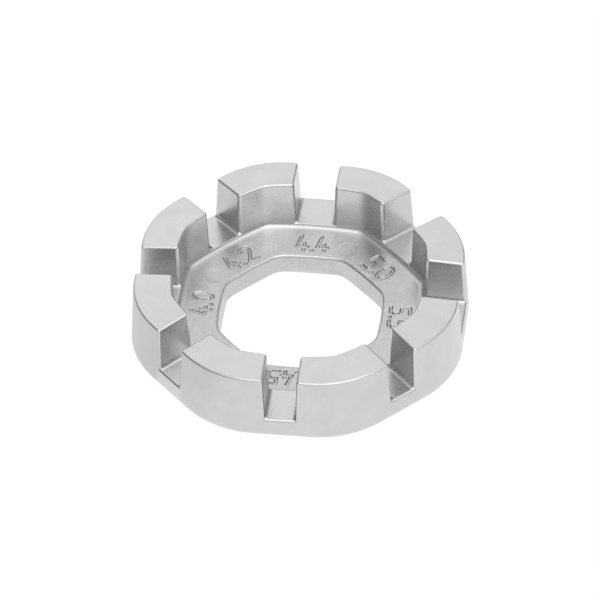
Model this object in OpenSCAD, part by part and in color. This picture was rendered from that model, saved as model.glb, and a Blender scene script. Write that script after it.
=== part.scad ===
// Eight-slot spoke wrench: one cast ring with a crown of eight teeth round an octagonal opening.
// The ring's axis is +Z and it stands on its flat base, with the origin at the base's centre.
// The front slot points along -Y. Seen from above, the slots follow anticlockwise every 45 degrees.
// Each wall is an octagon with its corners turned off: flats face the slots, corners lie at mid-tooth.

/* [Outer wall] */
// Width across two opposite flats of the outer wall, carried down to the base
outer_flats = 36.5; // [32:0.1:42]
// How much further the outer wall's turned corners reach from the axis than its flats
outer_corner_reach = 0.6; // [0.3:0.05:1.4]
// Lean of the outer wall from upright, in degrees
outer_draft = 3.2; // [0.5:0.1:5]
// Bevel where the outer wall meets the base, along each side
foot_bevel = 0.9; // [0.2:0.1:1.6]

/* [Teeth] */
// Height of the teeth above the base, at their inner edge
tooth_h = 8.5; // [7:0.1:12]
// Fall of the tooth tops towards the outside, in degrees
top_fall = 3.6; // [0.5:0.1:8]
// Thickness of the toothed wall at a flat, from its outside at the base to its inside at the face
wall_t = 4.7; // [4:0.1:6]
// How much further the inner wall's turned corners reach from the axis than its flats
inner_corner_reach = 0.55; // [0.3:0.05:1]
// Lean of the inner wall from upright, in degrees
inner_draft = 2; // [0.5:0.1:5]

/* [Face] */
// Width of the face at a flat, from where it would meet the inner wall to the opening
face_w = 4.69; // [4:0.01:6]
// Height of the face above the base, where it would meet the inner wall
face_h = 2.87; // [2.2:0.01:2.95]
// Fall of the face towards the opening, in degrees
face_fall = 7; // [1:0.5:12]
// Bevel between the face and the inner wall, along each side
rim_bevel = 0.4; // [0.1:0.05:0.6]

/* [Opening] */
// How much further the opening's turned corners reach from the axis than its flats
opening_corner_reach = 0.39; // [0.2:0.01:0.6]
// Lean of the opening's wall from upright, narrowing towards the base, in degrees
opening_draft = 3; // [0.5:0.1:5]

/* [Slots] */
// Width of the front slot, halfway up
slot_front = 3.45; // [3:0.05:6]
// Width of the front right slot, halfway up
slot_front_right = 3.3; // [3:0.05:6]
// Width of the right slot, halfway up
slot_right = 5.5; // [3:0.05:6]
// Width of the back right slot, halfway up
slot_back_right = 5; // [3:0.05:6]
// Width of the back slot, halfway up
slot_back = 4.4; // [3:0.05:6]
// Width of the back left slot, halfway up
slot_back_left = 4.2; // [3:0.05:6]
// Width of the left slot, halfway up
slot_left = 4; // [3:0.05:6]
// Width of the front left slot, halfway up
slot_front_left = 3.7; // [3:0.05:6]
// Height of the slot floors above the base, at the inner wall
slot_floor_h = 3.02; // [2.95:0.01:4]
// Fall of the slot floors towards the outside, in degrees
slot_floor_fall = 2.5; // [0.5:0.1:4]
// Lean of the slot walls from upright, in degrees
slot_draft = 2; // [0.5:0.1:4]
// Bevel between a slot's floor and its walls, along each side
slot_root_bevel = 0.15; // [0.05:0.05:0.4]

/* [Hidden] */
$fn = 96;

// Slot widths in order, anticlockwise from the front
slot_widths = [
    slot_front, slot_front_right, slot_right, slot_back_right,
    slot_back, slot_back_left, slot_left, slot_front_left
];
sides = len(slot_widths);
turn = 360 / sides;
front_turn = -90;
// Every cut runs this far past the faces that it opens
overrun = 1;

// Half widths across flats, named _a, and across corners, named _r
outer_a = outer_flats / 2;
inner_a = outer_a - wall_t;
opening_a = inner_a - face_w;
outer_r = outer_a + outer_corner_reach;
inner_r = inner_a + inner_corner_reach;
opening_r = opening_a + opening_corner_reach;

// The face's height at its corners and at the edge of the opening
face_corner_h = face_h - (inner_a - inner_r * cos(turn / 2)) * tan(face_fall);
opening_edge_h = face_h - face_w * tan(face_fall);
// Height of the tooth tops' slope carried in to the axis, and the height that clears every top
top_inner_x = inner_a + (tooth_h - face_h) * tan(inner_draft);
peak_h = tooth_h + top_inner_x * tan(top_fall);
clear_h = peak_h + overrun;

// Depth and length of a slot cut, and its height to above the tooth tops
slot_depth = tooth_h - slot_floor_h;
slot_start = rim_bevel + overrun;
slot_reach = wall_t + slot_start + overrun;
slot_cut_h = slot_depth + slot_reach * tan(slot_floor_fall) + overrun;

function unit(v) = v / norm(v);
// The two ends of a bevel of the given reach at corner p, towards a and towards b
function bevel(p, a, b, reach) = [p + unit(a - p) * reach, p + unit(b - p) * reach];
// Points followed by their mirror image in the y axis, in reverse order
function both_sides(points) =
    concat(points, [for (i = [len(points) - 1 : -1 : 0]) [-points[i].x, points[i].y]]);

// Section of the solid ring, with its wall at x on the base
module ring_section(x) {
    foot = [x, 0];
    head = [x - clear_h * tan(outer_draft), clear_h];
    polygon(both_sides(concat(bevel(foot, [0, 0], head, foot_bevel), [head])));
}

// Section of the space between the teeth, across two flats
module crown_flat_section() {
    middle = [0, face_h - inner_a * tan(face_fall)];
    root = [inner_a, face_h];
    head = [inner_a + (clear_h - face_h) * tan(inner_draft), clear_h];
    polygon(concat([middle], both_sides(concat(bevel(root, middle, head, rim_bevel), [head]))));
}

// Section of the space between the teeth, across two corners: its bevel runs on down past the face
module crown_corner_section() {
    root = [inner_r, face_corner_h + rim_bevel];
    low = [root.x - root.y - overrun, -overrun];
    head = [inner_r + (clear_h - root.y) * tan(inner_draft), clear_h];
    polygon(both_sides([low, root, head]));
}

// Section of the opening, with its wall at x on the edge of the face
module opening_section(x) {
    low = [x - (opening_edge_h + overrun) * tan(opening_draft), -overrun];
    head = [x + (clear_h - opening_edge_h) * tan(opening_draft), clear_h];
    polygon(both_sides([low, head]));
}

// Octagon with the first section across its flats and its corners turned to the second
module turned_octagon() {
    intersection() {
        intersection_for (i = [0 : sides / 2 - 1])
            rotate([90, 0, i * turn])
                linear_extrude((outer_r + overrun) * 2, center = true)
                    children(0);
        rotate_extrude()
            intersection() {
                children(1);
                translate([0, -overrun]) square([outer_r, clear_h + overrun]);
            }
    }
}

// Everything above the slope of the tooth tops
module above_teeth() {
    reach = outer_r + overrun;
    rotate_extrude()
        polygon([
            [0, peak_h], [reach, peak_h - reach * tan(top_fall)],
            [reach, clear_h + overrun], [0, clear_h + overrun]
        ]);
}

// Slot of the given width, along +X, with bevels along its floor
module slot_cut(width) {
    root = [width / 2 - slot_depth / 2 * tan(slot_draft), 0];
    head = [root.x + slot_cut_h * tan(slot_draft), slot_cut_h];
    translate([inner_a, 0, slot_floor_h])
        rotate([0, slot_floor_fall, 0])
            translate([-slot_start, 0, 0])
                rotate([90, 0, 90])
                    linear_extrude(slot_reach)
                        polygon(both_sides(concat(bevel(root, [0, 0], head, slot_root_bevel), [head])));
}

module wrench_ring() {
    color("silver")
        difference() {
            turned_octagon() {
                ring_section(outer_a);
                ring_section(outer_r);
            }
            turned_octagon() {
                crown_flat_section();
                crown_corner_section();
            }
            turned_octagon() {
                opening_section(opening_a);
                opening_section(opening_r);
            }
            above_teeth();
            for (i = [0 : sides - 1])
                rotate(i * turn + front_turn)
                    slot_cut(slot_widths[i]);
        }
}

wrench_ring();
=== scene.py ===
"""Eight-slot spoke wrench: the finished casting, its metal, the studio and the camera.

The ring's axis is +Z and its base stands at zero. Lengths are in millimetres until the piece is finished.
"""
import math

import bmesh
import bpy
import numpy as np
from mathutils import Matrix, Vector


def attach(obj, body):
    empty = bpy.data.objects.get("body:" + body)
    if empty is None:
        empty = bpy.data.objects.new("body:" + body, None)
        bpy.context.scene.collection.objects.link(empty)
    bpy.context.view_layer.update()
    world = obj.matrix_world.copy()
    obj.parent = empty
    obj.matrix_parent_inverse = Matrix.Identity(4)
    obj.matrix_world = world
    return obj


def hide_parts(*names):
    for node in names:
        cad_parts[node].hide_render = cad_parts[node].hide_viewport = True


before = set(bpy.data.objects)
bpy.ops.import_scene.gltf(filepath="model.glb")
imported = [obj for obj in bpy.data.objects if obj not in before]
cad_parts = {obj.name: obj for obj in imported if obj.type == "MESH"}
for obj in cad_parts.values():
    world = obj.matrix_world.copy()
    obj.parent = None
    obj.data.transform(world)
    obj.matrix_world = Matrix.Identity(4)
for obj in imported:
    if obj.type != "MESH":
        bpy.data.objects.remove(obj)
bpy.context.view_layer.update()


def slope(degrees):
    """Rise over run of a lean or fall in degrees."""
    return math.tan(math.radians(degrees))


def direction(azimuth, elevation=0):
    """Unit vector at an azimuth and elevation in degrees."""
    turn, rise = math.radians(azimuth), math.radians(elevation)
    return Vector((math.cos(turn) * math.cos(rise), math.sin(turn) * math.cos(rise), math.sin(rise)))


MM = 0.001
SIDES = 8
TURN = math.radians(360 / SIDES)
FRONT = math.radians(-90)

# Slot widths halfway up, anticlockwise from the front, and the lean of the slot walls
SLOTS = [3.45, 3.3, 5.5, 5.0, 4.4, 4.2, 4.0, 3.7]
SLOT_LEAN = slope(2)
SLOT_MIDDLE_H = 5.7
SLOT_FLOOR_H, SLOT_FLOOR_FALL = 3.0, slope(2.5)

# Each wall is an octagon with slightly bowed sides and turned corners: (bow of its sides, corner radius)
OUTER_TURN = (0.0005, 10.4)
INNER_TOP_TURN, INNER_FOOT_TURN, RIM_TURN = (0.036, 3.0), (0.022, 2.2), (0.018, 1.8)
LIP_TURN, OPENING_FOOT_TURN = (0.026, 2.6), (0.01, 2.4)
# The base's turns are this share of the way from the opening's to the outer wall's
BASE_TURN_SHARE = 0.4

# Outer wall: half width across flats at the base, and its lean
OUTER_A, OUTER_LEAN = 18.25, slope(3.2)
# Rounding of the foot, and the angle at which it starts, in degrees
FOOT_R, FOOT_START = 1.4, -8
# Inner wall: half width across flats and the height where that is measured, its lean, and where it starts
INNER_A, INNER_A_H, INNER_LEAN = 13.55, 2.87, slope(2)
WALL_FOOT_H = 3.44
TOOTH_H, TOP_FALL = 8.5, slope(3.6)
# Face: its height at the inner wall, and its fall to the opening in degrees
FACE_H, FACE_DIP = 2.62, 4
FACE_FALL = slope(FACE_DIP)
# Rounding between the face and the inner wall, how far it stands in, and its end in degrees, at the slot floors
RIM_R, RIM_IN, RIM_END = 0.62, 0.1, -15
# Opening: half width across flats at its upper edge, its lean, and the rounding of its edge on the base
OPENING_A, OPENING_LEAN, OPENING_FOOT_R = 8.84, slope(3.6), 0.06
# Lip at the opening's upper edge: its radius, how far its centre is sunk as a share of that, and its end in degrees
LIP_R, LIP_SINK, LIP_END = 0.34, 0.9, 97

# Columns of the mesh across a slot, how far out the ones next to its edges lie, and columns to mid-tooth
SLOT_COLUMNS, SLOT_SPREAD, TOOTH_COLUMNS = 12, 0.7, 10
SECTOR_COLUMNS = SLOT_COLUMNS + 2 * TOOTH_COLUMNS
# How closely the columns crowd towards mid-tooth, where the corners turn
CROWDING = 1.4
# Half the length of face that a numeral takes up, at the front slot and at the others
FRONT_MARK_HALF, MARK_HALF = 2.7, 2.1
# Share of the way over the face at which its columns leave the numerals for the slots' widths
FACE_EASE_FROM = 0.75
# Heights of the mesh's rows between the edges, and the number of rows where they are evenly spaced
OPENING_ROWS_H, INNER_ROWS_H = (0.7, 1.3), (4.6, 5.9, 7.2)
OUTER_ROWS_H, OUTER_LOW_ROW_H = (6.9, 5.5, 4.1), 2.1
FACE_ROWS, TOP_ROWS, FLOOR_ROWS = 14, 3, 4
BASE_ROWS, BASE_ROW_W = 2, 2.6
# Places of the top's two edges among the rows that run over a tooth
INNER_TOP_ROW = len(INNER_ROWS_H) + 2
OUTER_TOP_ROW = INNER_TOP_ROW + TOP_ROWS

# Radii of the rounded edges
EDGE_R = {
    "outer_corner": 0.38, "inner_corner": 0.36, "inner_top": 0.3, "slot_top": 0.32, "outer_top": 0.24,
    "root": 0.4, "sill": 0.3, "step": 0.07,
}
LARGEST_R = max(EDGE_R.values())


def slot_half(sector, height):
    """Half the width of a slot at a height."""
    return SLOTS[sector] / 2 + (height - SLOT_MIDDLE_H) * SLOT_LEAN


def slot_at(height):
    """Half widths of the slots at a height, by sector."""
    return lambda sector: slot_half(sector, height)


def mark_half(sector):
    """Half the length of face that a slot's numeral takes up."""
    return FRONT_MARK_HALF if sector == 0 else MARK_HALF


def face_half(share):
    """Half widths on the face: a numeral's length, then out to the slot's own width over the last of the face."""
    ease = max(0, (share - FACE_EASE_FROM) / (1 - FACE_EASE_FROM))
    return lambda sector: mark_half(sector) + (slot_half(sector, SLOT_FLOOR_H) - mark_half(sector)) * ease


def face_height(out):
    """Height of the dished face at a distance from the axis, measured square to its flat."""
    return FACE_H - (INNER_A - out) * FACE_FALL


def wall_in(height):
    """Half width of the inner wall at a height."""
    return INNER_A + (height - INNER_A_H) * INNER_LEAN


def wall_out(height):
    """Half width of the outer wall at a height."""
    return OUTER_A - height * OUTER_LEAN


def mix(first, last, share):
    """Values part of the way from one pair to another."""
    return tuple(a + (b - a) * share for a, b in zip(first, last))


def arc(centre, radius, start, end, steps):
    """Points of an arc in the ring's section, from one angle to another in degrees."""
    points = []
    for step in range(steps + 1):
        angle = math.radians(start + (end - start) * step / steps)
        points.append((centre[0] + radius * math.cos(angle), centre[1] + radius * math.sin(angle)))
    return points


def rim_arc():
    """Rounding between the face and the inner wall, up to the level of the slot floors."""
    wall = Vector((INNER_LEAN, 1)).normalized()
    face = Vector((-1, -FACE_FALL)).normalized()
    half = wall.angle(face) / 2
    centre = Vector((INNER_A - RIM_IN, FACE_H)) + (wall + face).normalized() * RIM_R / math.sin(half)
    return arc(centre, RIM_R, FACE_DIP - 90, RIM_END, steps=5)


# Slot floors: their half width and height at the rim, and where they meet the outer wall
RIM = rim_arc()
FLOOR_IN_A, FLOOR_IN_H = RIM[-1]
FLOOR_OUT_H = (FLOOR_IN_H - (OUTER_A - FLOOR_IN_A) * SLOT_FLOOR_FALL) / (1 - OUTER_LEAN * SLOT_FLOOR_FALL)
FLOOR_OUT_A = wall_out(FLOOR_OUT_H)


def columns():
    """Columns round the ring, each as (sector, side, share).

    In a slot, side is 0 and share goes from -1 at one edge to 1 at the other. On a tooth, side is the side of the
    sector's slot that the column lies on, 1 or -1, and share goes from 0 at the slot to 1 at mid-tooth.
    """
    found = []
    for sector in range(SIDES):
        found.append((sector, 0, -1))
        for step in range(SLOT_COLUMNS - 1):
            found.append((sector, 0, SLOT_SPREAD * (-1 + 2 * step / (SLOT_COLUMNS - 2))))
        for step in range(2 * TOOTH_COLUMNS):
            share = step / TOOTH_COLUMNS
            if share <= 1:
                found.append((sector, 1, 1 - (1 - share) ** CROWDING))
            else:
                found.append(((sector + 1) % SIDES, -1, 1 - (share - 1) ** CROWDING))
    return found


COLUMNS = columns()
EVERY = range(len(COLUMNS))


def columns_from(first, steps):
    """Numbers of the columns from one to another some steps on, round past the last."""
    return [(first + step) % len(COLUMNS) for step in range(steps + 1)]


def place(column, apothem, turn, half, height):
    """Point of a column on a bowed and turned octagon, at a height or at a height that follows its distance out."""
    sector, side, share = column
    bow, corner_r = turn
    side_r = 1 / bow
    hub = apothem - side_r
    mid = TURN / 2
    corner = hub * math.cos(mid) + math.sqrt((side_r - corner_r) ** 2 - (hub * math.sin(mid)) ** 2)
    sweep = math.atan2(corner * math.sin(mid), corner * math.cos(mid) - hub)
    if side == 0:
        along = share * half
        out = hub + math.sqrt(side_r ** 2 - along ** 2)
    else:
        start = side_r * math.asin(half / side_r)
        run = start + share * (side_r * sweep + corner_r * (mid - sweep) - start)
        if run <= side_r * sweep:
            out, along = hub + side_r * math.cos(run / side_r), side_r * math.sin(run / side_r)
        else:
            bend = sweep + (run - side_r * sweep) / corner_r
            out = corner * math.cos(mid) + corner_r * math.cos(bend)
            along = corner * math.sin(mid) + corner_r * math.sin(bend)
        along *= side
    angle = FRONT + sector * TURN
    return Vector((
        out * math.cos(angle) - along * math.sin(angle),
        out * math.sin(angle) + along * math.cos(angle),
        height(out) if callable(height) else height,
    ))


def lay(verts, cols, apothem, turn, height, half):
    """Moves a row of vertices to its place, with the half width that half() gives for each slot's columns."""
    for vert, col in zip(verts, cols):
        vert.co = place(COLUMNS[col], apothem, turn, half(COLUMNS[col][0]), height)


def edges_along(bm, verts, closed=False):
    """Edges from each vertex of a row to the next."""
    ahead = verts[1:] + verts[:1] if closed else verts[1:]
    return [bm.edges.get(pair) for pair in zip(verts, ahead)]


def grow(bm, verts, closed):
    """Extrudes a row of vertices and gives the new row in the same order."""
    made = bmesh.ops.extrude_edge_only(bm, edges=edges_along(bm, verts, closed))["geom"]
    fresh = {item for item in made if isinstance(item, bmesh.types.BMVert)}
    row = []
    for vert in verts:
        row.append(next(e.other_vert(vert) for e in vert.link_edges if e.other_vert(vert) in fresh))
    return row


def carry(bm, verts, cols, rows, closed=False):
    """Extrudes a row of vertices through the given rows, and gives them all, from the one it starts with."""
    made = [verts]
    for row in rows:
        made.append(grow(bm, made[-1], closed))
        lay(made[-1], cols, *row)
    return made


# Each row below is the half width across flats, the turn, the height, and the half widths of the slots' columns

def inner_rows():
    """Rows up the opening, over its lip, across the dished face, and round the rim to the slot floors."""
    lip_top = face_height(OPENING_A)

    def opening_wall(height):
        return OPENING_A - (lip_top - height) * OPENING_LEAN

    foot_centre = (opening_wall(0) + OPENING_FOOT_R, OPENING_FOOT_R)
    foot = arc(foot_centre, OPENING_FOOT_R, 270, 180, steps=3)
    rows = [(a, OPENING_FOOT_TURN, z, mark_half) for a, z in foot]
    for z in OPENING_ROWS_H:
        rows.append((opening_wall(z), mix(OPENING_FOOT_TURN, LIP_TURN, z / lip_top), z, mark_half))
    lip = arc((OPENING_A + LIP_R, lip_top - LIP_R * LIP_SINK), LIP_R, 180, LIP_END, steps=4)
    rows += [(a, LIP_TURN, z, mark_half) for a, z in lip]
    start, stop = lip[-1][0], RIM[0][0]
    for step in range(1, FACE_ROWS + 1):
        share = step / FACE_ROWS
        apothem = start + (stop - start) * share
        rows.append((apothem, mix(LIP_TURN, RIM_TURN, share), face_height, face_half(share)))
    for step, (a, z) in enumerate(RIM[1:], 1):
        rows.append((a, mix(RIM_TURN, INNER_FOOT_TURN, step / len(RIM)), z, slot_at(SLOT_FLOOR_H)))
    return rows


def tooth_rows():
    """Rows over a tooth: up the inner wall, across the top, and down the outer wall to the slot floors."""
    top_in = wall_in(TOOTH_H)
    top_out = wall_out(TOOTH_H - (OUTER_A - top_in) * TOP_FALL)
    top_out_h = TOOTH_H - (top_out - top_in) * TOP_FALL
    rows = []
    for z in (WALL_FOOT_H, *INNER_ROWS_H, TOOTH_H):
        share = (z - WALL_FOOT_H) / (TOOTH_H - WALL_FOOT_H)
        rows.append((wall_in(z), mix(INNER_FOOT_TURN, INNER_TOP_TURN, share), z, slot_at(z)))
    for step in range(1, TOP_ROWS + 1):
        share = step / TOP_ROWS
        apothem = top_in + (top_out - top_in) * share
        z = TOOTH_H + (top_out_h - TOOTH_H) * share
        rows.append((apothem, mix(INNER_TOP_TURN, OUTER_TURN, share), z, slot_at(z)))
    for z in (*OUTER_ROWS_H, FLOOR_OUT_H):
        rows.append((wall_out(z), OUTER_TURN, z, slot_at(z)))
    return rows


def floor_rows():
    """Rows along a slot's floor, from the rim out to the outer wall."""
    rows = []
    for step in range(1, FLOOR_ROWS + 1):
        share = step / FLOOR_ROWS
        apothem = FLOOR_IN_A + (FLOOR_OUT_A - FLOOR_IN_A) * share
        z = FLOOR_IN_H + (FLOOR_OUT_H - FLOOR_IN_H) * share
        rows.append((apothem, mix(INNER_FOOT_TURN, OUTER_TURN, share), z, slot_at(z)))
    return rows


def outer_rows():
    """Rows down the outer wall under the slots, round the foot, and in across the base."""
    foot_top = FOOT_R * (1 - OUTER_LEAN)
    foot_centre = (wall_out(foot_top) - FOOT_R * math.cos(math.atan(OUTER_LEAN)), FOOT_R)
    down = [(wall_out(z), z) for z in (OUTER_LOW_ROW_H, foot_top)]
    down += arc(foot_centre, FOOT_R, FOOT_START, -90, steps=8)
    rows = [(a, OUTER_TURN, z, slot_at(SLOT_FLOOR_H)) for a, z in down]
    base_turn = mix(OPENING_FOOT_TURN, OUTER_TURN, BASE_TURN_SHARE)
    for step in range(1, BASE_ROWS + 1):
        rows.append((foot_centre[0] - step * BASE_ROW_W, base_turn, 0, mark_half))
    return rows


def build_ring():
    """The whole casting as one closed mesh: a row of vertices is carried round its section."""
    bm = bmesh.new()
    weight = bm.edges.layers.float.new("bevel_weight_edge")
    bm.verts.layers.float.new("groove")
    rounded = []

    # From the opening's edge on the base, up and out to the level of the slot floors
    base_row = list(bmesh.ops.create_circle(bm, segments=len(COLUMNS), radius=OPENING_A)["verts"])
    first, *later = inner_rows()
    lay(base_row, EVERY, *first)
    inner_row = carry(bm, base_row, EVERY, later, closed=True)[-1]

    outer_row = [None] * len(COLUMNS)

    def carried_out(start, steps, rows):
        """Carries some of each sector's columns from the inner row through the rows to the outer wall."""
        made = []
        for sector in range(SIDES):
            cols = columns_from(sector * SECTOR_COLUMNS + start, steps)
            made.append(carry(bm, [inner_row[col] for col in cols], cols, rows))
            for col, vert in zip(cols, made[-1][-1]):
                outer_row[col] = vert
        return made

    # Over each tooth, and along each slot's floor
    teeth = carried_out(SLOT_COLUMNS, 2 * TOOTH_COLUMNS, tooth_rows())
    floors = carried_out(0, SLOT_COLUMNS, floor_rows())
    for tooth in teeth:
        rounded += [(tooth[INNER_TOP_ROW], "inner_top"), (tooth[OUTER_TOP_ROW], "outer_top")]
    for floor in floors:
        rounded += [(floor[0], "step"), (floor[-1], "sill")]

    # The teeth and the floors meet again along the outer wall
    weld, slot_sides = {}, []
    for sector, floor in enumerate(floors):
        for tooth, tooth_end, floor_end in ((teeth[sector], 0, -1), (teeth[sector - 1], -1, 0)):
            brim = [row[tooth_end] for row in tooth]
            root = [row[floor_end] for row in floor]
            weld[brim[-1]] = root[-1]
            slot_sides.append((brim[:-1] + root[-1:], root))
    bmesh.ops.weld_verts(bm, targetmap=weld)

    # Slot walls
    for brim, root in slot_sides:
        bmesh.ops.edgeloop_fill(bm, edges=edges_along(bm, brim) + edges_along(bm, root))
        rounded += [
            (brim[:INNER_TOP_ROW + 1], "inner_corner"), (brim[INNER_TOP_ROW:OUTER_TOP_ROW + 1], "slot_top"),
            (brim[OUTER_TOP_ROW:], "outer_corner"), (root, "root"),
        ]

    # Down the outer wall and in across the base, to where it started
    last_row = carry(bm, outer_row, EVERY, outer_rows(), closed=True)[-1]
    loops = edges_along(bm, last_row, closed=True) + edges_along(bm, base_row, closed=True)
    bmesh.ops.bridge_loops(bm, edges=loops)
    bmesh.ops.recalc_face_normals(bm, faces=bm.faces)
    for verts, kind in rounded:
        for edge in edges_along(bm, verts):
            edge[weight] = EDGE_R[kind] / LARGEST_R
    return bm


# Strokes of each figure, as points in a box one wide and one high
FIGURES = {
    "0": [[(0.5, 1.0), (0.8, 0.93), (0.96, 0.7), (0.97, 0.34), (0.82, 0.08), (0.5, 0.0),
           (0.18, 0.08), (0.03, 0.34), (0.04, 0.7), (0.2, 0.93), (0.5, 1.0)]],
    "2": [[(0.0, 0.8), (0.08, 0.93), (0.26, 1.0), (0.66, 1.0), (0.86, 0.91), (0.92, 0.74),
           (0.82, 0.58), (0.05, 0.0), (1.0, 0.0)]],
    "3": [[(0.08, 0.87), (0.26, 1.0), (0.68, 1.0), (0.9, 0.86), (0.86, 0.64), (0.62, 0.54), (0.4, 0.54)],
          [(0.62, 0.54), (0.92, 0.42), (0.95, 0.16), (0.7, 0.0), (0.26, 0.0), (0.04, 0.14)]],
    "4": [[(0.36, 1.0), (0.03, 0.27), (1.02, 0.27)], [(0.7, 0.5), (0.7, 0.0)]],
    "5": [[(0.92, 1.0), (0.16, 1.0), (0.13, 0.56), (0.68, 0.56), (0.93, 0.44), (0.96, 0.17),
           (0.74, 0.0), (0.0, 0.0)]],
    "7": [[(0.02, 1.0), (0.95, 1.0), (0.4, 0.0)]],
    ".": [[(0.46, 0.0), (0.54, 0.03)]],
}
# Each slot's mark: its figures with their places along the flat, read clockwise
NUMERALS = [
    [("3", -1.8), (".", -0.82), ("4", 0.2), ("5", 1.7)],
    [("3", -1.08), (".", 0.03), ("3", 1.13)],
    [("5", -0.95), (".", 0.03), ("5", 1.15)],
    [("5", -0.98), (".", 0.03), ("0", 1.12)],
    [("4", -1.12), (".", 0.03), ("4", 1.12)],
    [("4", -1.1), (".", 0.03), ("2", 1.14)],
    [("4", -1.06), (".", 0.03), ("0", 1.13)],
    [("3", -1.08), (".", 0.03), ("7", 1.13)],
]
# A figure's height and width, and the distance of its foot from the axis
FIGURE_H, FIGURE_W, FIGURE_FOOT = 2.14, 1.15, 9.85
# A stroke's width at its edges and at its flat floor, and its depth
STROKE_W, STROKE_FLOOR_W, STROKE_DEPTH = 0.42, 0.2, 0.2
# The span outwards that the numerals take up
MARK_SPAN = (9.5, 12.32)
# The face's span outwards, how far it stays under the slot floors, and how level it is
FACE_SPAN, FACE_UNDER, FACE_LEVEL = (8.9, 13.9), 0.1, 0.9
# Cuts across each edge of the face under a mark
MARK_CUTS = 6
# Round marks left by the mould's pins on the face: their azimuths and distance out, their radius, depth and
# the width of their soft edge, and the finer mesh kept round them
PIN_AZIMUTHS, PIN_AT = (69.0, 155.7), 11.15
PIN_R, PIN_DEPTH, PIN_EDGE, PIN_MARGIN = 1.0, 0.03, 0.16, 0.35
PINS = [direction(azimuth).to_2d() * PIN_AT for azimuth in PIN_AZIMUTHS]


def on_face(face):
    """Whether a mesh face belongs to the dished face."""
    middle = face.calc_center_median()
    low, high = FACE_SPAN
    level = face.normal.z > FACE_LEVEL and middle.z < SLOT_FLOOR_H - FACE_UNDER
    return level and low < math.hypot(middle.x, middle.y) < high


def flat_coordinates(point):
    """A point's sector, its distance out across that sector's flat, and its place along the flat, clockwise."""
    angle = (math.atan2(point.y, point.x) - FRONT) % (2 * math.pi)
    sector = int(angle / TURN + 0.5) % SIDES
    turn = FRONT + sector * TURN
    out = point.x * math.cos(turn) + point.y * math.sin(turn)
    along = point.x * math.sin(turn) - point.y * math.cos(turn)
    return sector, out, along


def pin_gap(point):
    """Distance from a point to the middle of the nearest pin mark."""
    return min((point.to_2d() - pin).length for pin in PINS)


def pin_depth(point):
    """How far a pin mark has pressed a point of the face in, eased over its soft edge."""
    ease = min(1, max(0, (PIN_R + PIN_EDGE / 2 - pin_gap(point)) / PIN_EDGE))
    return PIN_DEPTH * ease * ease * (3 - 2 * ease)


def in_marked_zone(face):
    """Whether a mesh face lies under a numeral or a pin mark."""
    middle = face.calc_center_median()
    sector, out, along = flat_coordinates(middle)
    low, high = MARK_SPAN
    return abs(along) < mark_half(sector) and low < out < high or pin_gap(middle) < PIN_R + PIN_MARGIN


def strokes(sector):
    """A numeral's straight strokes, as pairs of (along, out) points."""
    pairs = []
    for figure, middle in NUMERALS[sector]:
        for line in FIGURES[figure]:
            points = [(middle + (x - 0.5) * FIGURE_W, FIGURE_FOOT + y * FIGURE_H) for x, y in line]
            pairs += list(zip(points, points[1:]))
    return pairs


def sunk_shares(sector, points):
    """How far points (along, out) lie down a numeral's grooves, from 0 beside them to 1 on their floors."""
    lines = np.array(strokes(sector))
    start, run = lines[None, :, 0], lines[None, :, 1] - lines[None, :, 0]
    points = np.array(points)[:, None, :]
    share = np.clip(((points - start) * run).sum(2) / (run * run).sum(2), 0, 1)
    gap = np.linalg.norm(points - (start + share[..., None] * run), axis=2).min(1)
    return np.clip((STROKE_W / 2 - gap) / (STROKE_W / 2 - STROKE_FLOOR_W / 2), 0, 1).tolist()


def carve_marks(bm):
    """Subdivides the face under the marks and presses the strokes and pin marks into it."""
    zone = [face for face in bm.faces if on_face(face) and in_marked_zone(face)]
    edges = dict.fromkeys(edge for face in zone for edge in face.edges)
    bmesh.ops.subdivide_edges(bm, edges=list(edges), cuts=MARK_CUTS, use_grid_fill=True)
    groove = bm.verts.layers.float["groove"]
    by_sector = {}
    for vert in dict.fromkeys(vert for face in bm.faces if on_face(face) for vert in face.verts):
        sector, out, along = flat_coordinates(vert.co)
        by_sector.setdefault(sector, {})[vert] = (along, out)
    for sector, places in by_sector.items():
        for vert, sunk in zip(places, sunk_shares(sector, list(places.values()))):
            vert[groove] = sunk
            vert.co.z -= STROKE_DEPTH * sunk + pin_depth(vert.co)


def finish_piece(bm, name):
    """Makes the mesh an object in metres, with its edges rounded by weight."""
    bmesh.ops.scale(bm, vec=(MM, MM, MM), verts=bm.verts)
    mesh = bpy.data.meshes.new(name)
    bm.to_mesh(mesh)
    bm.free()
    for polygon in mesh.polygons:
        polygon.use_smooth = True
    piece = bpy.data.objects.new(name, mesh)
    bpy.context.scene.collection.objects.link(piece)
    bevel = piece.modifiers.new("edge_rounding", "BEVEL")
    bevel.limit_method = "WEIGHT"
    bevel.width = LARGEST_R * MM
    bevel.segments = 4
    bevel.profile = 0.5
    bevel.use_clamp_overlap = False
    bevel.harden_normals = True
    return piece


def put(tree, socket, value):
    """Links a value to a socket, or writes it there where it is a plain number."""
    if isinstance(value, (int, float)):
        socket.default_value = value
    else:
        tree.links.new(value, socket)


def joined(tree, operation, first, second, clamp=False):
    """Two values or numbers put together by a Math node."""
    node = tree.nodes.new("ShaderNodeMath")
    node.operation = operation
    node.use_clamp = clamp
    put(tree, node.inputs[0], first)
    put(tree, node.inputs[1], second)
    return node.outputs["Value"]


def spread(tree, value, low, high, to_low, to_high):
    """Values from low to high, carried to another range."""
    node = tree.nodes.new("ShaderNodeMapRange")
    for name, number in zip(("From Min", "From Max", "To Min", "To Max"), (low, high, to_low, to_high)):
        node.inputs[name].default_value = number
    tree.links.new(value, node.inputs["Value"])
    return node.outputs["Result"]


# The ranges that the noise's values mostly fill, in broad patches and in specks
PATCHES, SPECKS = (0.3, 0.7), (0.35, 0.65)
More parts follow.
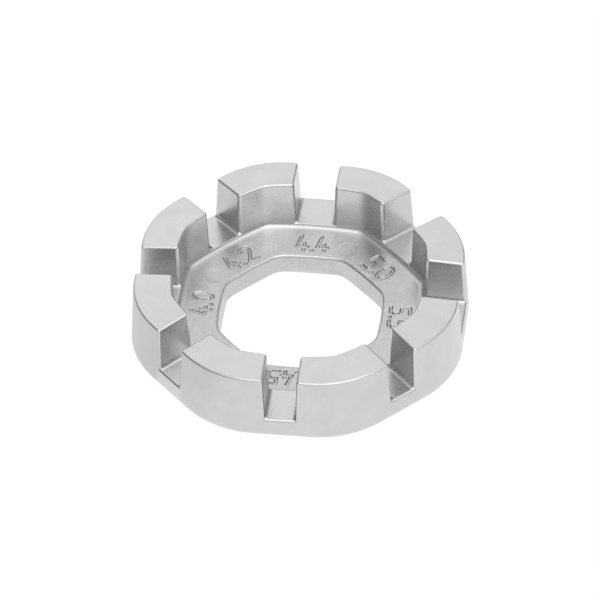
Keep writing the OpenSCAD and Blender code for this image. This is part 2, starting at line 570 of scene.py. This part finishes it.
# Distances from the axis, in metres, over which the face's painted shade, extra roughness and coarse grain give way
# to the smoother walls
FACE_EDGE_M = (0.0128, 0.0136)
# How much the face's colour is darkened as painted shade and how much rougher it is, how much of that its specks
# add again at most, and the strength of the grain on it and off it
FACE_PAINTED_SHADE_AND_ROUGHNESS, SPECK_MOST, FACE_GRAIN, WALL_GRAIN = 0.032, 1.8, 0.8, 0.12
# The plating's tone and roughness from one patch to the next
PLATING_TONE, PLATING_ROUGHNESS = (0.63, 0.67), (0.25, 0.31)
# How sharp an edge is where rubbing starts and where it is full, and what it adds to tone and takes from roughness
RUBBED_FROM, RUBBED = (0.52, 0.6), 0.06
# How much painted shade darkens the sides of the numerals' grooves, and how far down them it reaches
GROOVE_PAINTED_SHADE, GROOVE_PAINTED_SHADE_AT = 0.26, 0.35


def satin_nickel():
    """Satin plating over a fine cast surface: mottled, faintly streaked up its walls, brighter at rubbed edges,
    with painted shade on its dished face and in its numerals' grooves.
    """
    metal = bpy.data.materials.new("satin_nickel")
    metal.use_nodes = True
    tree = metal.node_tree
    nodes, links = tree.nodes, tree.links
    shader = nodes["Principled BSDF"]
    shader.inputs["Metallic"].default_value = 1.0
    place_on = nodes.new("ShaderNodeTexCoord").outputs["Object"]

    def cloud(name, scale, detail, stretch=(1, 1, 1)):
        """Noise over the piece, with the size of its patches set per metre."""
        lay_out = nodes.new("ShaderNodeMapping")
        lay_out.inputs["Scale"].default_value = stretch
        links.new(place_on, lay_out.inputs["Vector"])
        noise = nodes.new("ShaderNodeTexNoise")
        noise.name = noise.label = name
        noise.inputs["Scale"].default_value = scale
        noise.inputs["Detail"].default_value = detail
        links.new(lay_out.outputs["Vector"], noise.inputs["Vector"])
        return noise.outputs["Fac"]

    def bumped(height, strength, depth, under=None):
        """Relief over the relief already there, with one strength or one that changes over the piece."""
        node = nodes.new("ShaderNodeBump")
        put(tree, node.inputs["Strength"], strength)
        node.inputs["Distance"].default_value = depth
        links.new(height, node.inputs["Height"])
        if under:
            links.new(under, node.inputs["Normal"])
        return node.outputs["Normal"]

    def plus(one, other):
        return joined(tree, "ADD", one, other, clamp=True)

    def minus(one, other):
        return joined(tree, "SUBTRACT", one, other, clamp=True)

    # The dished face is rougher than the outside, and its colour is darkened a little as painted shade
    across = nodes.new("ShaderNodeVectorMath")
    across.operation = "MULTIPLY"
    across.inputs[1].default_value = (1, 1, 0)
    links.new(place_on, across.inputs[0])
    radius = nodes.new("ShaderNodeVectorMath")
    radius.operation = "LENGTH"
    links.new(across.outputs["Vector"], radius.inputs[0])
    face_painted_shade_and_roughness = spread(tree, radius.outputs["Value"], *FACE_EDGE_M, FACE_PAINTED_SHADE_AND_ROUGHNESS, 0)
    coarse = spread(tree, radius.outputs["Value"], *FACE_EDGE_M, FACE_GRAIN, WALL_GRAIN)

    rubbed = spread(tree, nodes.new("ShaderNodeNewGeometry").outputs["Pointiness"], *RUBBED_FROM, 0, RUBBED)
    mottle = spread(tree, cloud("plating_mottle", scale=420, detail=3), *PATCHES, *PLATING_TONE)
    speckle = spread(tree, cloud("cast_speckle", scale=3600, detail=2), *SPECKS, 0, SPECK_MOST)
    speckle = joined(tree, "MULTIPLY", face_painted_shade_and_roughness, speckle, clamp=True)
    # Tone: the plating's mottle and rubbed edges, less the painted shade on the face and its darker specks
    tone = minus(minus(plus(mottle, rubbed), face_painted_shade_and_roughness), speckle)

    # Painted shade: the steep sides of the numerals' grooves are darkened a little
    groove = nodes.new("ShaderNodeAttribute")
    groove.attribute_name = "groove"
    sunk = groove.outputs["Fac"]
    side = joined(tree, "MINIMUM", sunk, spread(tree, sunk, 0, 1, 1, 0), clamp=True)
    tone = minus(tone, spread(tree, side, 0, GROOVE_PAINTED_SHADE_AT, 0, GROOVE_PAINTED_SHADE))
    colour = nodes.new("ShaderNodeCombineColor")
    for channel in ("Red", "Green", "Blue"):
        links.new(tone, colour.inputs[channel])
    links.new(colour.outputs["Color"], shader.inputs["Base Color"])

    gloss = spread(tree, cloud("plating_gloss", scale=900, detail=4), *PATCHES, *PLATING_ROUGHNESS)
    links.new(plus(minus(gloss, rubbed), face_painted_shade_and_roughness), shader.inputs["Roughness"])

    # Relief in metres: broad ripples, streaks drawn out up the walls, and the grain
    relief = bumped(cloud("cast_ripple", scale=260, detail=2), strength=0.5, depth=0.00006)
    streaks = cloud("mould_streaks", scale=2600, detail=2, stretch=(1, 1, 0.07))
    relief = bumped(streaks, strength=0.25, depth=0.000012, under=relief)
    relief = bumped(cloud("cast_grain", scale=4200, detail=3), strength=coarse, depth=0.00003, under=relief)
    links.new(relief, shader.inputs["Normal"])
    return metal


# Soft lights round the piece: azimuth and elevation in degrees, level, and how closely the light is gathered
SOFT_LIGHTS = [
    (120, 8, 0.15, 8), (240, 38, 0.415, 8), (270, 38, 0.11, 8), (300, 38, 0.65, 8), (330, 38, 0.49, 8),
    (90, 38, 0.62, 8), (120, 38, 0.46, 8), (300, 65, 0.67, 8), (0, 65, 0.13, 8), (278, 76, 0.5, 30),
    (22, 16, 0.45, 24), (180, 3, 0.22, 80),
]
# The paper: its half width in metres, how far it lies under the base, its white, and how much of that is glow
PAPER_HALF_M, PAPER_UNDER, PAPER_WHITE, PAPER_GLOW = 3.0, 0.05, 1.02, 0.94
# Where a painted shadow of the piece darkens the paper on its left, in metres along X, and how light that painted
# shadow is
SHADE_X_M, SHADE_LEVEL = (-0.018, -0.008), 0.86


def seen_by(tree, *kinds):
    """Whether a ray is one of the kinds that see the white background."""
    path = tree.nodes.new("ShaderNodeLightPath")
    seen = path.outputs[kinds[0]]
    for kind in kinds[1:]:
        seen = joined(tree, "MAXIMUM", seen, path.outputs[kind])
    return seen


def light_world():
    """Soft lights all round, under a background that the camera sees white."""
    world = bpy.data.worlds.new("soft_lights")
    bpy.context.scene.world = world
    world.use_nodes = True
    tree = world.node_tree
    towards = tree.nodes.new("ShaderNodeTexCoord").outputs["Generated"]
    total = 0.0
    for azimuth, elevation, level, gathered in SOFT_LIGHTS:
        near = tree.nodes.new("ShaderNodeVectorMath")
        near.operation = "DOT_PRODUCT"
        tree.links.new(towards, near.inputs[0])
        near.inputs[1].default_value = direction(azimuth, elevation)
        half = joined(tree, "MULTIPLY", near.outputs["Value"], 0.5)
        glow = joined(tree, "POWER", joined(tree, "ADD", half, 0.5), gathered)
        total = joined(tree, "ADD", joined(tree, "MULTIPLY", glow, level), total)
    background = tree.nodes["Background"]
    background.inputs["Color"].default_value = (1, 1, 1, 1)
    put(tree, background.inputs["Strength"], joined(tree, "MAXIMUM", total, seen_by(tree, "Is Camera Ray")))


def white_paper():
    """White paper that glows white, still takes a faint shadow, and is clear from below."""
    paper = bpy.data.materials.new("white_paper")
    paper.use_nodes = True
    tree = paper.node_tree
    nodes, links = tree.nodes, tree.links
    shader = nodes["Principled BSDF"]
    shader.inputs["Base Color"].default_value = (1, 1, 1, 1)
    shader.inputs["Roughness"].default_value = 1.0
    shader.inputs["Specular IOR Level"].default_value = 0.0

    # Painted shadow: the paper's glow is dimmed on its left, where the piece would shade it, and its walls reflect
    # that
    across = nodes.new("ShaderNodeSeparateXYZ")
    links.new(nodes.new("ShaderNodeTexCoord").outputs["Object"], across.inputs["Vector"])
    shade = spread(tree, across.outputs["X"], *SHADE_X_M, SHADE_LEVEL, 1)
    level = joined(tree, "MAXIMUM", shade, seen_by(tree, "Is Camera Ray"))
    white = nodes.new("ShaderNodeEmission")
    put(tree, white.inputs["Strength"], joined(tree, "MULTIPLY", level, PAPER_WHITE))

    blend = nodes.new("ShaderNodeMixShader")
    seen = seen_by(tree, "Is Camera Ray", "Is Glossy Ray", "Is Transmission Ray")
    put(tree, blend.inputs["Fac"], joined(tree, "MULTIPLY", seen, PAPER_GLOW))
    links.new(shader.outputs["BSDF"], blend.inputs[1])
    links.new(white.outputs["Emission"], blend.inputs[2])

    # Seen from below, the paper lets the base show
    clear = nodes.new("ShaderNodeMixShader")
    links.new(nodes.new("ShaderNodeNewGeometry").outputs["Backfacing"], clear.inputs["Fac"])
    links.new(blend.outputs["Shader"], clear.inputs[1])
    links.new(nodes.new("ShaderNodeBsdfTransparent").outputs["BSDF"], clear.inputs[2])
    links.new(clear.outputs["Shader"], nodes["Material Output"].inputs["Surface"])
    return paper


def lay_paper():
    """The sheet of white paper that the ring stands on."""
    bm = bmesh.new()
    bmesh.ops.create_grid(bm, x_segments=1, y_segments=1, size=PAPER_HALF_M)
    bmesh.ops.translate(bm, vec=(0, 0, -PAPER_UNDER * MM), verts=bm.verts)
    mesh = bpy.data.meshes.new("floor")
    bm.to_mesh(mesh)
    bm.free()
    mesh.materials.append(white_paper())
    floor = bpy.data.objects.new("floor", mesh)
    bpy.context.scene.collection.objects.link(floor)


# Camera fitted to the photograph: its azimuth from the front, its elevation, its pan, tilt and roll, in degrees
CAMERA_AZIMUTH, CAMERA_ELEVATION = 8.037, 42.556
CAMERA_PAN, CAMERA_TILT, CAMERA_ROLL = 0.002, 0.053, -1.522
# Its distance from the point on the axis that it aims at, and that point's height
CAMERA_DISTANCE, AIM_H = 641.325, 4.72
# Its focal length and the width of its frame, in pixels
FOCAL_PX, FRAME_PX = 5859.753, 600
# Width of its sensor in millimetres, and the nearest and farthest that it sees, in metres
SENSOR_W, CLIP_M = 36, (0.05, 20)


def photo_camera():
    """Camera at the photograph's place, which frames the ring as the photograph does."""
    back = direction(CAMERA_AZIMUTH - 90, CAMERA_ELEVATION)
    right = (-back).cross(Vector((0, 0, 1))).normalized()
    level = Matrix((right, right.cross(-back), -back))
    pan, tilt, roll = (math.radians(angle) for angle in (CAMERA_PAN, CAMERA_TILT, CAMERA_ROLL))
    turned = Matrix.Rotation(-roll, 3, "Z") @ Matrix.Rotation(-tilt, 3, "X") @ Matrix.Rotation(pan, 3, "Y")
    seen = turned @ level
    lens = bpy.data.cameras.new("photo_camera")
    lens.sensor_width = SENSOR_W
    lens.lens = FOCAL_PX / FRAME_PX * SENSOR_W
    lens.clip_start, lens.clip_end = CLIP_M
    camera = bpy.data.objects.new("photo_camera", lens)
    bpy.context.scene.collection.objects.link(camera)
    axes = Matrix((seen[0], seen[1], -seen[2])).transposed().to_4x4()
    at = Vector((0, 0, AIM_H)) + back * CAMERA_DISTANCE
    camera.matrix_world = Matrix.Translation(at * MM) @ axes
    bpy.context.scene.camera = camera


photo_camera()
light_world()
lay_paper()
bpy.context.scene.view_settings.view_transform = "Standard"

ring_mesh = build_ring()
carve_marks(ring_mesh)
ring = finish_piece(ring_mesh, "cast_ring")
ring.data.materials.append(satin_nickel())
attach(ring, "root")
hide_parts("wrench_ring")
